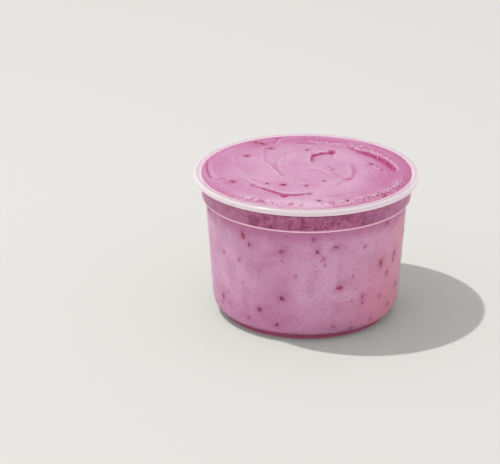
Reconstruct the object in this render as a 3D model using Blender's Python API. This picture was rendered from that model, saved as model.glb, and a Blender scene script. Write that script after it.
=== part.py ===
"""A clear plastic tub, filled to the brim with a swirled purple berry blend.

The tub is one turned piece: a foot ring, a rounded corner, a tapered wall, a wider collar above a ledge, and a
flange with a lip that turns down. The blend is a cast of the tub's inside, and its top is a relief of the marks
that a spoon leaves. Metres, +Z up, origin at the centre of the foot's underside.
"""

import math
from collections import namedtuple

import bmesh
import bpy
import numpy as np
from mathutils import Matrix, Vector
from mathutils.geometry import interpolate_bezier

MM = 0.001

# The tub's driving dimensions.
TUB_HEIGHT = 76.0 * MM
RIM_RADIUS = 58.5 * MM
WALL = 0.7 * MM
FLOOR = 0.8 * MM
TURN_STEPS = 60

# Foot ring and the flat underside that it lifts off the table.
FOOT_RADIUS = 43.1 * MM
FOOT_WIDTH = 1.7 * MM
FOOT_HEIGHT = 2.7 * MM
FOOT_CHAMFER = 0.3 * MM
UNDERSIDE_LIFT = 1.4 * MM

# Rounded corner, from the foot up to the wall.
CORNER_START = 43.5 * MM
CORNER_RADIUS = 49.3 * MM
CORNER_HEIGHT = 10.6 * MM
CORNER_STEPS = 5

# Ledge, where the wall widens into the collar.
LEDGE_RADIUS = 52.8 * MM
LEDGE_HEIGHT = 62.3 * MM
SHOULDER = 2.1 * MM
SHOULDER_STEPS = 4
COLLAR_FOOT_RADIUS = 54.7 * MM
COLLAR_TOP_RADIUS = 54.9 * MM

# Flange round the mouth, with its lip.
FLANGE_THICKNESS = 1.1 * MM
LIP_THICKNESS = 1.0 * MM
LIP_DEPTH = 2.8 * MM
LIP_ROUND = 1.0 * MM
MOUTH_ROUND = 0.9 * MM
ROUND_STEPS = 3

# The blend keeps this gap to the tub, and its top has this many rings of triangles.
GAP = 0.3 * MM
TOP_RINGS = 31
SURFACE_LEVEL = 75.9 * MM
DOME_RISE = 0.5 * MM
RING_BEAD = 0.35 * MM
RING_BEAD_RADIUS = 49.0 * MM
RING_BEAD_WIDTH = 3.5 * MM
EDGE_SHOULDER_RADIUS = 49.5 * MM
EDGE_DROP = 0.1 * MM
STIR_AMPLITUDE = 0.16 * MM
STIR_PITCH = 24.0 * MM

# A mark of the spoon along a smooth curve through a route, all in millimetres. Seen along its way the surface stands
# at left on one side and at right on the other, each fading over its reach, with a step between them and a ridge of
# a width on the line. What is under 0 is sunk. Both ends fade out over fade, a share of the length.
Stroke = namedtuple(
    "Stroke",
    "route left left_reach right right_reach step ridge width fade",
    defaults=(0.0, 1.0, 0.0, 1.0, 1.0, 0.0, 1.0, 0.2),
)
CURVE_STEPS = 5

STROKES = {
    "front_lip": Stroke(
        ((-31, -17.5), (-25, -23.8), (-18.5, -29.5), (-13.2, -33.8), (-8, -35.2), (-2.5, -34.2), (3.4, -30.2)),
        left=0.6, left_reach=9, right=-0.4, right_reach=3.4, step=0.6, fade=0.3,
    ),
    "bright_ridge": Stroke(
        ((-34, -9.5), (-30.4, -14.2), (-26.8, -18.4), (-23, -22)), left=0.1, left_reach=5, ridge=0.4, fade=0.35
    ),
    "lip_end": Stroke(
        ((3.6, -30), (2, -25.5), (-0.6, -20.5), (-6, -17)),
        left=0.1, left_reach=5, right=-0.15, right_reach=3, ridge=0.25, width=1.2, fade=0.35,
    ),
    "long_crease": Stroke(
        ((-20.5, 38.5), (-22.4, 31), (-22.3, 21), (-21.2, 12.5), (-18.6, 6.5), (-17, 1), (-14.8, -5), (-12.4, -11),
         (-11.4, -16)),
        left=-0.14, left_reach=3, right=0.2, right_reach=8, step=1.6, ridge=0.1,
    ),
    "inner_arc": Stroke(
        ((0, 30.5), (-7, 27), (-12, 21.5), (-14.4, 15.5), (-15, 8), (-14.6, 1.5), (-12.9, -4.5), (-11.8, -11)),
        left=0.2, left_reach=9, right=-0.14, right_reach=2.6, step=1.8,
    ),
    "curl_wall": Stroke(
        ((3, 8), (2.6, 14), (2.8, 20), (3.8, 24.2), (6.8, 25.8), (11, 26.8), (15.3, 27.4), (17.5, 26.6)),
        left=0.3, left_reach=5, right=-0.9, right_reach=6.5, step=1.1, fade=0.2,
    ),
    "curl_crest": Stroke(
        ((2.2, 6), (3.8, 3), (7.7, -0.5), (11.6, -5), (14, -9)), ridge=0.45, width=1.5, fade=0.3
    ),
    "lobe_edge": Stroke(
        ((21.6, 13.5), (23, 6), (23.6, -1), (23, -7.5), (20.8, -12), (17, -13.8)),
        left=-0.5, left_reach=5, right=0.45, right_reach=8, step=2.8, fade=0.35,
    ),
    "lobe_tail": Stroke(
        ((18.4, -13), (16.8, -17.5), (14.8, -21.5), (11, -25.4)),
        left=-0.2, left_reach=3, right=0.15, right_reach=4, step=1.6, fade=0.3,
    ),
    "gouge": Stroke(
        ((21.5, 36), (27, 32.4), (32.5, 28.2), (37.5, 22.8), (41.6, 16), (44.6, 9), (46.4, 2), (46, -5.5)),
        left=0.4, left_reach=2.5, right=-1.7, right_reach=5.4, step=1.6, fade=0.3,
    ),
    "gouge_edge": Stroke(
        ((26.5, 12.8), (31, 10.9), (34.4, 8.6), (37.2, 4.8), (39.4, 0), (42.8, -5)),
        left=-0.8, left_reach=2.2, right=0.6, right_reach=3.2, step=0.6,
    ),
    "wall_groove": Stroke(
        ((-51.6, 19), (-51.8, 9), (-51.3, 0), (-50, -8), (-47.6, -14)),
        left=0.15, left_reach=2, ridge=-0.5, width=0.9,
    ),
    "left_fold": Stroke(((-49, -12.6), (-46, -13.6), (-43, -11.8), (-40, -10.4)), ridge=-0.3, width=0.9, fade=0.35),
    "back_notch": Stroke(
        ((-14.6, 54), (-14.2, 48.5), (-15, 43), (-17.5, 38)),
        left=0.4, left_reach=10, right=-0.2, right_reach=4, step=1.4, fade=0.35,
    ),
    "back_bank": Stroke(((-12, 50), (0, 51.4), (14, 49.6), (26, 44.4), (36, 36.8)), ridge=0.8, width=3.5, fade=0.25),
    "back_hollow": Stroke(((-9, 41), (-3, 42), (4, 41.4), (10, 38.6)), ridge=-0.4, width=1.8, fade=0.4),
    "back_ridge": Stroke(((-8, 36), (0, 36.6), (9, 35.4), (17, 32)), ridge=0.2, width=1.4, fade=0.4),
    "left_stroke": Stroke(
        ((-30, 36), (-35.5, 27), (-37.5, 16), (-35.5, 5), (-30.5, -5), (-23, -14)),
        left=-0.06, left_reach=5, right=0.14, right_reach=7, step=2.4, fade=0.35,
    ),
    "left_streak": Stroke(((-43, 28), (-38, 31), (-31, 33.6)), ridge=0.2, fade=0.4),
    "middle_streak": Stroke(((-5, 24), (-8.5, 17), (-9.5, 9), (-8, 1)), ridge=0.15, width=1.3, fade=0.4),
    "right_stroke": Stroke(((27, 22), (33, 14), (36.5, 4)), ridge=-0.2, width=2.0, fade=0.4),
    "front_right_edge": Stroke(
        ((50.5, -9), (48, -19), (43, -28.5), (35.5, -36.6), (26, -42), (15, -45.4)),
        left=-0.5, left_reach=6, right=0.25, right_reach=6, step=1.8, fade=0.3,
    ),
    "front_left_edge": Stroke(
        ((-43, -29), (-35, -37.4), (-25, -43.4), (-13, -46.8), (0, -47.8), (12, -47.6)),
        left=0.2, left_reach=6, right=-0.35, right_reach=4, step=1.8, fade=0.35,
    ),
    "front_streak": Stroke(((6, -36.4), (13, -36.4), (20, -34.4)), ridge=-0.2, width=1.4, fade=0.4),
}

# A small pit, with its depth and the reach over which it fades, in millimetres.
Pit = namedtuple("Pit", "x y depth reach")

PITS = (
    Pit(-12, -36.2, 0.9, 1.9),
    Pit(0.8, -33.2, 0.6, 1.7),
    Pit(-27.6, -21.2, 0.5, 1.7),
    Pit(4.6, 25, 0.6, 1.9),
    Pit(14.2, 28.4, 1.5, 1.8),
    Pit(39.2, -0.2, 1.2, 1.1),
    Pit(37.1, 4.8, 0.7, 1.0),
    Pit(20.6, -12, 0.8, 3.0),
    Pit(38.8, -38.2, 0.9, 1.3),
    Pit(-13.4, 49.4, 0.7, 1.7),
    Pit(24.6, 34, 0.6, 1.4),
    Pit(19.6, -44, 0.5, 1.5),
    Pit(-31, 21.8, 0.4, 1.8),
)

# Bits of berry skin that lie in the surface: place, length and width in millimetres, heading in degrees.
Fleck = namedtuple("Fleck", "x y length width heading")
FLECK_THICKNESS = 1.0 * MM
FLECK_LIFT = -0.15 * MM

FLECKS = (
    Fleck(-26.2, 42.4, 3.6, 2.2, 96),
    Fleck(-23.0, 40.8, 3.8, 1.7, 150),
    Fleck(-31.0, 22.0, 4.2, 1.5, 40),
    Fleck(-38.2, -17.0, 4.6, 1.5, 118),
    Fleck(-20.6, -20.2, 1.9, 1.4, 90),
    Fleck(-12.4, -22.4, 3.8, 1.7, 4),
    Fleck(-0.6, -23.6, 2.4, 1.2, 60),
    Fleck(13.6, 28.6, 3.4, 2.0, 100),
    Fleck(1.0, 30.2, 2.0, 1.2, 20),
    Fleck(-18.4, 32.6, 4.0, 1.1, 8),
    Fleck(38.8, -0.8, 2.2, 1.5, 130),
    Fleck(33.8, 8.6, 2.6, 1.4, 140),
    Fleck(19.6, -43.6, 2.6, 1.7, 95),
    Fleck(5.2, -44.4, 3.0, 1.9, 80),
    Fleck(38.6, -34.6, 3.2, 1.5, 88),
    Fleck(8.4, -16.4, 1.8, 1.1, 75),
)


# Relief of the blend's top

def ease(share):
    """A smooth step from 0 to 1."""
    share = np.clip(share, 0.0, 1.0)
    return share * share * (3.0 - 2.0 * share)


def curve_through(route):
    """A smooth curve through a route's points, in metres."""
    points = [Vector(point) * MM for point in (route[0], *route, route[-1])]
    curve = [points[0]]
    for before, start, end, after in zip(points, points[1:], points[2:], points[3:]):
        leaving = start + (end - before) / 6
        arriving = end - (after - start) / 6
        curve += interpolate_bezier(start, leaving, arriving, end, CURVE_STEPS)[1:]
    return np.array(curve)


def beside_curve(route, x, y):
    """The distance to a route's curve, above 0 to its left, and how far along the nearest point is, from 0 to 1."""
    curve = curve_through(route)
    nearest = np.full(np.shape(x), np.inf)
    aside = np.zeros(np.shape(x))
    along = np.zeros(np.shape(x))
    for number, (start, end) in enumerate(zip(curve, curve[1:])):
        way_x, way_y = end - start
        from_x = x - start[0]
        from_y = y - start[1]
        share = np.clip((from_x * way_x + from_y * way_y) / (way_x * way_x + way_y * way_y), 0.0, 1.0)
        distance = np.hypot(from_x - share * way_x, from_y - share * way_y)
        side = np.sign(way_x * from_y - way_y * from_x)
        closer = distance < nearest
        nearest = np.where(closer, distance, nearest)
        aside = np.where(closer, side * distance, aside)
        along = np.where(closer, (number + share) / (len(curve) - 1), along)
    return aside, along


def stroke_height(stroke, x, y):
    aside, along = beside_curve(stroke.route, x, y)
    strength = ease(along / stroke.fade) * ease((1.0 - along) / stroke.fade) * MM
    left = stroke.left * np.exp(-np.maximum(aside, 0.0) / (stroke.left_reach * MM))
    right = stroke.right * np.exp(-np.maximum(-aside, 0.0) / (stroke.right_reach * MM))
    ridge = stroke.ridge * np.exp(-((aside / (stroke.width * MM)) ** 2))
    return strength * (right + (left - right) * ease(aside / (stroke.step * MM) + 0.5) + ridge)


def pit_depth(pit, x, y):
    away = np.hypot(x - pit.x * MM, y - pit.y * MM)
    return pit.depth * MM * np.exp(-((away / (pit.reach * MM)) ** 2))


def surface_height(x, y):
    """The blend's top at places: a low dome with a bead near the wall, and the spoon's marks on it."""
    away = np.hypot(x, y)
    reach = fill_mouth_radius()
    height = SURFACE_LEVEL + DOME_RISE * (1.0 - (away / reach) ** 2)
    height = height + RING_BEAD * np.exp(-(((away - RING_BEAD_RADIUS) / RING_BEAD_WIDTH) ** 2))
    edge = np.maximum(away - EDGE_SHOULDER_RADIUS, 0.0) / (reach - EDGE_SHOULDER_RADIUS)
    height = height - EDGE_DROP * edge * edge
    stir = 2 * math.pi * away / STIR_PITCH - np.arctan2(y, x)
    height = height + STIR_AMPLITUDE * np.sin(stir) * ease(away / STIR_PITCH) * (1.0 - edge)
    marks = sum(stroke_height(stroke, x, y) for stroke in STROKES.values())
    marks = marks - sum(pit_depth(pit, x, y) for pit in PITS)
    return height + marks * (1.0 - edge ** 3)


# Outlines in the turning plane, as (radius, height)

def arc_points(centre, half_width, half_height, first, last, steps):
    """Points of a quarter ellipse, both ends included."""
    points = []
    for step in range(steps + 1):
        angle = math.radians(first + (last - first) * step / steps)
        points.append((centre[0] + half_width * math.cos(angle), centre[1] + half_height * math.sin(angle)))
    return points


def inner_wall(gap):
    """The tub's inside from the floor's edge up to the mouth, moved inwards by gap."""
    inset = WALL + gap
    floor_height = UNDERSIDE_LIFT + FLOOR + gap
    corner = arc_points(
        (CORNER_START - WALL - gap, CORNER_HEIGHT),
        CORNER_RADIUS - CORNER_START,
        CORNER_HEIGHT - floor_height,
        -90, 0, CORNER_STEPS,
    )
    shoulder_round = SHOULDER - WALL / 2
    shoulder = arc_points(
        (COLLAR_FOOT_RADIUS - WALL - shoulder_round, LEDGE_HEIGHT + SHOULDER),
        shoulder_round - gap,
        shoulder_round - gap,
        -90, 0, SHOULDER_STEPS,
    )
    ledge = (LEDGE_RADIUS - inset, LEDGE_HEIGHT + gap)
    return corner + [ledge] + shoulder


def fill_mouth_radius():
    return COLLAR_TOP_RADIUS - WALL - GAP


def tub_profile():
    """The closed outline that is turned into the tub, from the underside's centre round the outside and back."""
    foot_inner = FOOT_RADIUS - FOOT_WIDTH
    outline = [
        (0.0, UNDERSIDE_LIFT),
        (foot_inner - FOOT_CHAMFER, UNDERSIDE_LIFT),
        (foot_inner, 0.0),
        (FOOT_RADIUS - FOOT_CHAMFER, 0.0),
        (FOOT_RADIUS, FOOT_CHAMFER),
        (FOOT_RADIUS, FOOT_HEIGHT),
    ]
    outline += arc_points(
        (CORNER_START, CORNER_HEIGHT),
        CORNER_RADIUS - CORNER_START,
        CORNER_HEIGHT - FOOT_HEIGHT - FOOT_CHAMFER,
        -90, 0, CORNER_STEPS,
    )
    outline.append((LEDGE_RADIUS, LEDGE_HEIGHT))
    outline += arc_points(
        (COLLAR_FOOT_RADIUS - SHOULDER, LEDGE_HEIGHT + SHOULDER), SHOULDER, SHOULDER, -84, 0, SHOULDER_STEPS
    )
    under_flange = TUB_HEIGHT - FLANGE_THICKNESS
    lip_foot = TUB_HEIGHT - LIP_DEPTH
    lip_inner = RIM_RADIUS - LIP_THICKNESS
    outline += [
        (COLLAR_TOP_RADIUS, under_flange - MOUTH_ROUND),
        (COLLAR_TOP_RADIUS + MOUTH_ROUND / 2, under_flange),
        (lip_inner, under_flange),
        (lip_inner, lip_foot),
        (RIM_RADIUS - FOOT_CHAMFER, lip_foot),
        (RIM_RADIUS, lip_foot + FOOT_CHAMFER),
    ]
    outline += arc_points(
        (RIM_RADIUS - LIP_ROUND, TUB_HEIGHT - LIP_ROUND), LIP_ROUND, LIP_ROUND, 0, 90, ROUND_STEPS
    )
    mouth = COLLAR_TOP_RADIUS - WALL
    outline += arc_points(
        (mouth + MOUTH_ROUND, TUB_HEIGHT - MOUTH_ROUND), MOUTH_ROUND, MOUTH_ROUND, 90, 180, ROUND_STEPS
    )
    outline += reversed(inner_wall(0.0))
    outline.append((0.0, UNDERSIDE_LIFT + FLOOR))
    return outline


# Objects

def material(name, colour, roughness, metallic=0.0, transmission=0.0):
    made = bpy.data.materials.new(name)
    made.use_nodes = True
    shader = made.node_tree.nodes["Principled BSDF"]
    shader.inputs["Base Color"].default_value = (*colour, 1.0)
    shader.inputs["Roughness"].default_value = roughness
    shader.inputs["Metallic"].default_value = metallic
    shader.inputs["Transmission Weight"].default_value = transmission
    return made


def add_object(name, mesh_source, finish):
    mesh = bpy.data.meshes.new(name)
    mesh_source.to_mesh(mesh)
    mesh_source.free()
    mesh.shade_smooth()
    mesh.set_sharp_from_angle(angle=math.radians(35))
    made = bpy.data.objects.new(name, mesh)
    made.data.materials.append(finish)
    bpy.context.scene.collection.objects.link(made)
    return made


def turn(outline, steps):
    """Turns an outline of (radius, height) about Z, and returns the mesh with its points on the axis merged."""
    shape = bmesh.new()
    points = [shape.verts.new((radius, 0.0, height)) for radius, height in outline]
    edges = [shape.edges.new(pair) for pair in zip(points, points[1:])]
    bmesh.ops.spin(
        shape,
        geom=points + edges,
        cent=(0, 0, 0),
        axis=(0, 0, 1),
        angle=2 * math.pi,
        steps=steps,
        use_merge=True,
    )
    bmesh.ops.remove_doubles(shape, verts=shape.verts, dist=0.001 * MM)
    bmesh.ops.recalc_face_normals(shape, faces=shape.faces)
    return shape


def add_disc(shape, rings, radius):
    """A round disc of even triangles at height 0: a hexagon split into rings, with its sides pressed outwards."""
    bmesh.ops.create_circle(shape, cap_ends=True, cap_tris=True, segments=6, radius=radius)
    bmesh.ops.subdivide_edges(shape, edges=list(shape.edges), cuts=rings - 1, use_grid_fill=True)
    side_angle = math.pi / 3
    for point in shape.verts:
        # The hexagon has its corners at 30 degrees and every 60 degrees on, and its sides' middles in between.
        from_middle = (math.atan2(point.co.y, point.co.x) + side_angle / 2) % side_angle - side_angle / 2
        point.co.xy = point.co.xy * math.cos(from_middle) / math.cos(side_angle / 2)


def make_tub():
    finish = material("clear_plastic", (0.90, 0.89, 0.88), 0.12, transmission=0.9)
    return add_object("tub", turn(tub_profile(), TURN_STEPS), finish)


def make_blend():
    """The cast of the tub's inside, with the marked surface on top."""
    wall = inner_wall(GAP)
    shape = turn([(0.0, wall[0][1])] + wall, TURN_STEPS)
    wall_rim = [edge for edge in shape.edges if edge.is_boundary]
    top = bmesh.new()
    add_disc(top, TOP_RINGS, fill_mouth_radius())
    x, y = (np.array([point.co[axis] for point in top.verts]) for axis in (0, 1))
    for point, height in zip(top.verts, surface_height(x, y)):
        point.co.z = height
    top_mesh = bpy.data.meshes.new("blend_top")
    top.to_mesh(top_mesh)
    top.free()
    shape.from_mesh(top_mesh)
    bpy.data.meshes.remove(top_mesh)
    known = set(wall_rim)
    top_rim = [edge for edge in shape.edges if edge.is_boundary and edge not in known]
    bmesh.ops.bridge_loops(shape, edges=wall_rim + top_rim)
    bmesh.ops.triangulate(shape, faces=shape.faces)
    bmesh.ops.recalc_face_normals(shape, faces=shape.faces)
    finish = material("berry_blend", (0.62, 0.30, 0.46), 0.42)
    return add_object("acai", shape, finish)


def make_fleck(fleck, number, height, finish):
    """One flake of skin, half sunk in the blend where it lies."""
    shape = bmesh.new()
    bmesh.ops.create_icosphere(shape, subdivisions=1, radius=0.5)
    place = Matrix.Translation(Vector((fleck.x * MM, fleck.y * MM, height + FLECK_LIFT)))
    turned = Matrix.Rotation(math.radians(fleck.heading), 4, "Z")
    size = Matrix.Diagonal((fleck.length * MM, fleck.width * MM, FLECK_THICKNESS, 1.0))
    bmesh.ops.transform(shape, matrix=place @ turned @ size, verts=shape.verts)
    return add_object(f"fleck_{number}", shape, finish)


def fuse_flecks(blend):
    """Joins the flakes to the blend with one Boolean, and removes the loose ones."""
    finish = material("berry_skin", (0.35, 0.03, 0.09), 0.35)
    loose = bpy.data.collections.new("loose_flecks")
    bpy.context.scene.collection.children.link(loose)
    x, y = (np.array([fleck[axis] for fleck in FLECKS]) * MM for axis in (0, 1))
    for number, (fleck, height) in enumerate(zip(FLECKS, surface_height(x, y))):
        made = make_fleck(fleck, number, height, finish)
        bpy.context.scene.collection.objects.unlink(made)
        loose.objects.link(made)
    join = blend.modifiers.new("flecks", "BOOLEAN")
    join.operation = "UNION"
    join.operand_type = "COLLECTION"
    join.collection = loose
    join.solver = "EXACT"
    bpy.context.view_layer.update()
    graph = bpy.context.evaluated_depsgraph_get()
    joined = bpy.data.meshes.new_from_object(blend.evaluated_get(graph), depsgraph=graph)
    blend.modifiers.clear()
    blend.data = joined
    blend.data.name = "acai"
    for made in list(loose.objects):
        bpy.data.objects.remove(made, do_unlink=True)
    bpy.data.collections.remove(loose)


def main():
    for old in list(bpy.data.objects):
        bpy.data.objects.remove(old, do_unlink=True)
    make_tub()
    fuse_flecks(make_blend())


main()
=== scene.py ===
"""The looks of an acai bowl: a clear plastic tub, filled to the brim with a swirled purple berry blend.

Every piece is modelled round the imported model, in metres, +Z up, with the side that the camera sees
towards -Y.
"""

import math
import random
from collections import namedtuple
from functools import lru_cache

import bmesh
import bpy
import numpy as np
from bpy.props import FloatProperty, FloatVectorProperty, IntProperty, PointerProperty
from mathutils import Matrix, Vector, noise
from mathutils.geometry import interpolate_bezier


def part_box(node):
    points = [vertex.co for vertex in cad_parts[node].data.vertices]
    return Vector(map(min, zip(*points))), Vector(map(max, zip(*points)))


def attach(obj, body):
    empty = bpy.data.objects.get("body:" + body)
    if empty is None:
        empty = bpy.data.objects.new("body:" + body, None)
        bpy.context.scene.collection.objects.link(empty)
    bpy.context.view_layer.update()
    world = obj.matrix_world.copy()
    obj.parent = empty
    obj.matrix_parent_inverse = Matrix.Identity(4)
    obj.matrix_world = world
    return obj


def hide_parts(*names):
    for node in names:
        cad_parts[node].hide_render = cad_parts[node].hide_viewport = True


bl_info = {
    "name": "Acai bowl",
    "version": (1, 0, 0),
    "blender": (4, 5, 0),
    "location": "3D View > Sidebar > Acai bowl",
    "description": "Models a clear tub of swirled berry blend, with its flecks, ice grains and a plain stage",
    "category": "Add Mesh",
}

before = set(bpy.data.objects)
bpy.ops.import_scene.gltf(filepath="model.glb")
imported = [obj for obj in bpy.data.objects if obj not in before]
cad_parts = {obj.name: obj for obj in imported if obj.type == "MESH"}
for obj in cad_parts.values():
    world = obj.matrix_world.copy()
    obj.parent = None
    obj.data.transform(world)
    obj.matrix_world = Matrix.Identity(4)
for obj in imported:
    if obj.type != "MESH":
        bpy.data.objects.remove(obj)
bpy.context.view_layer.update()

TUB_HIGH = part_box("tub")[1]
MM = 0.001

# The floor's half side, how far it lies under the tub, and how far the camera sees.
FLOOR_REACH = 4.0
FLOOR_DROP = 0.1 * MM
SIGHT = 20.0

# The photograph's frame, and where the middle of the tub's axis lies in it.
FRAME_WIDTH = 500
FRAME_HEIGHT = 464
AXIS_PIXEL_X = 305.9
AXIS_PIXEL_Y = 238.4


# Settings

def length(name, description, default):
    return FloatProperty(name=name, description=description, default=default, unit="LENGTH", precision=5)


def count(name, description, default):
    return IntProperty(name=name, description=description, default=default, min=3)


def colour(name, description, default):
    return FloatVectorProperty(name=name, description=description, default=default, size=3, subtype="COLOR")


def number(name, description, default):
    return FloatProperty(name=name, description=description, default=default)


def angle(name, description, default):
    return FloatProperty(name=name, description=description, default=math.radians(default), subtype="ANGLE")


class TubSizes(bpy.types.PropertyGroup):
    height: length("Height", "From the table to the top of the rim", TUB_HIGH.z)
    rim_radius: length("Rim radius", "Outside of the lip", TUB_HIGH.x)
    wall: length("Wall", "Thickness of the plastic", 0.0007)
    floor: length("Floor", "Thickness of the bottom", 0.0008)
    foot_radius: length("Foot radius", "Outside of the foot ring", 0.0431)
    foot_width: length("Foot width", "Width of the foot ring", 0.0017)
    foot_height: length("Foot height", "Height of the foot ring", 0.0027)
    underside_lift: length("Underside lift", "Gap between the table and the bottom", 0.0014)
    corner_start: length("Corner start", "Radius where the rounded corner leaves the foot", 0.0435)
    corner_radius: length("Corner end", "Radius where the rounded corner meets the wall", 0.0493)
    corner_height: length("Corner height", "Height where the rounded corner meets the wall", 0.0106)
    ledge_radius: length("Ledge radius", "Radius of the wall's top, under the collar", 0.0528)
    ledge_height: length("Ledge height", "Height of the wall's top, under the collar", 0.0623)
    shoulder: length("Shoulder", "Radius of the round between ledge and collar", 0.0021)
    collar_foot: length("Collar foot", "Radius of the collar at the shoulder", 0.0547)
    collar_top: length("Collar top", "Radius of the collar under the flange", 0.0549)
    flange: length("Flange", "Thickness of the flange round the mouth", 0.0011)
    lip_thickness: length("Lip thickness", "Thickness of the lip that turns down", 0.0010)
    lip_depth: length("Lip depth", "Height of the lip that turns down", 0.0028)
    steps: count("Steps", "Segments round the tub", 180)


class BlendSizes(bpy.types.PropertyGroup):
    wall_bite: length("Wall bite", "How far the blend reaches into the plastic, so no air shows", 0.00018)
    level: length("Level", "Height of the blend's surface near the wall", 0.0759)
    dome: length("Dome", "Rise of the surface from the wall to the middle", 0.0005)
    grain: length("Grain", "Height of the finest roughness", 0.00007)
    lumps: length("Lumps", "Height of the ice's roughness", 0.00032)
    swell: length("Swell", "Height of the broad unevenness", 0.00016)
    rings: count("Rings", "Rings of triangles on the surface", 150)
    steps: count("Steps", "Segments round the blend's side", 288)
    wall_rows: count("Wall rows", "Rows of faces on the blend's side, between its corner and the ledge", 44)


class Colours(bpy.types.PropertyGroup):
    blend: colour("Blend", "The berry blend's top where it is plain", (0.665, 0.300, 0.500))
    # Also painted light on the crests of the top.
    blend_pale: colour("Pale blend", "Paler streaks and crests on top", (0.81, 0.50, 0.675))
    # Also painted shade in the hollows of the top.
    blend_deep: colour("Deep blend", "Deeper streaks and the edge of the top", (0.56, 0.130, 0.33))
    # Painted shade: the colour of creases and steep slopes on top. The same colour also stains the blend
    # round bits of skin and in the juicy ice patches.
    crease: colour("Creases", "The blend deep in a crease and round a bit of skin", (0.48, 0.032, 0.18))
    wall: colour("Wall blend", "The blend behind the wall where it is plain", (0.765, 0.340, 0.580))
    wall_pale: colour("Pale wall blend", "Paler clouds behind the wall", (0.86, 0.48, 0.71))
    # Painted light: a redder glow towards the right and the bottom of the side, standing in for light that
    # passes through the blend.
    wall_painted_warm_light: colour("Warm wall blend", "Redder clouds behind the wall", (0.95, 0.31, 0.45))
    # Also painted shade under the ledge and in a band left of the middle. The same colour deepens the random
    # mottling and the lowest part of the side.
    wall_deep: colour("Deep wall blend", "Deeper tones under the ledge and near the foot", (0.58, 0.16, 0.37))
    collar: colour("Collar blend", "The blend behind the collar", (0.58, 0.130, 0.320))
    # Also painted shade: the shadow of the lip just under the rim, and the shade by the foot.
    dark_blotches_and_shade: colour("Dark collar blend", "Blotches behind the collar", (0.28, 0.016, 0.125))
    skin: colour("Skin", "Bits of berry skin", (0.30, 0.012, 0.090))
    skin_rusty: colour("Rusty skin", "The reddest bits of berry skin", (0.44, 0.020, 0.080))
    skin_sunk: colour("Sunk skin", "Bits of skin just under the surface", (0.46, 0.070, 0.22))
    seed: colour("Seeds", "Bits of seed", (0.26, 0.040, 0.130))
    ice: colour("Ice", "Grains of ice", (0.98, 0.86, 0.93))
    plastic: colour("Plastic", "The tub", (0.86, 0.790, 0.790))
    rim_pink: colour("Pink plastic", "The tub's mouth, which takes the blend's colour", (0.96, 0.62, 0.77))
    # The glows below are painted light: emission that makes the mouth, the milky lip, the ledge's round and
    # the foot ring shine without a lamp.
    mouth_painted_glow: colour("Mouth glow", "Light that the tub's mouth gathers", (0.14, 0.070, 0.105))
    rim_painted_glow: colour("Rim glow", "Light that the milky lip passes on from behind it", (0.15, 0.105, 0.135))
    ledge_painted_glow: colour("Ledge glow", "Light that the ledge's round gathers", (0.48, 0.26, 0.34))
    foot: colour("Foot", "The foot ring, which takes the blend's colour", (0.50, 0.11, 0.24))
    foot_painted_glow: colour("Foot glow", "Light that the foot ring gathers", (0.06, 0.010, 0.024))
    bounce: colour("Bounce", "What the blend's side throws on the floor", (0.33, 0.37, 0.34))
    table: colour("Table", "The floor that the tub stands on", (0.80, 0.785, 0.755))


class StageSizes(bpy.types.PropertyGroup):
    elevation: angle("Elevation", "How far the camera looks down", 21.9)
    distance: length("Distance", "From the camera to the tub's axis", 1.2)
    pixels_per_metre: number("Pixels per metre", "Scale of the picture at the tub's axis", 1906.0)
    aim_height: length("Aim height", "Height on the tub's axis that the framing is set by", 0.038)
    lamp: number("Lamp", "Strength of the key light, the same at any distance", 18.6)
    lamp_size: length("Lamp size", "Radius of the key light", 0.012)
    lamp_place: FloatVectorProperty(
        name="Lamp place", description="Where the key light is", subtype="TRANSLATION",
        default=(-0.405, 0.014, 1.034),
    )
    sky: number("Sky", "Strength of the soft light from all round", 0.585)


# Relief of the blend's surface

# A mark of the spoon along a smooth curve through a route, in millimetres. Seen along its way the surface
# stands at left on one side and at right on the other, each fading over its reach, with a step between them
# and a ridge of a width on the line. What is under 0 is sunk. Both ends fade over a share of the length.
Stroke = namedtuple(
    "Stroke",
    "route left left_reach right right_reach step ridge width fade",
    defaults=(0.0, 1.0, 0.0, 1.0, 1.0, 0.0, 1.0, 0.2),
)

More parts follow.
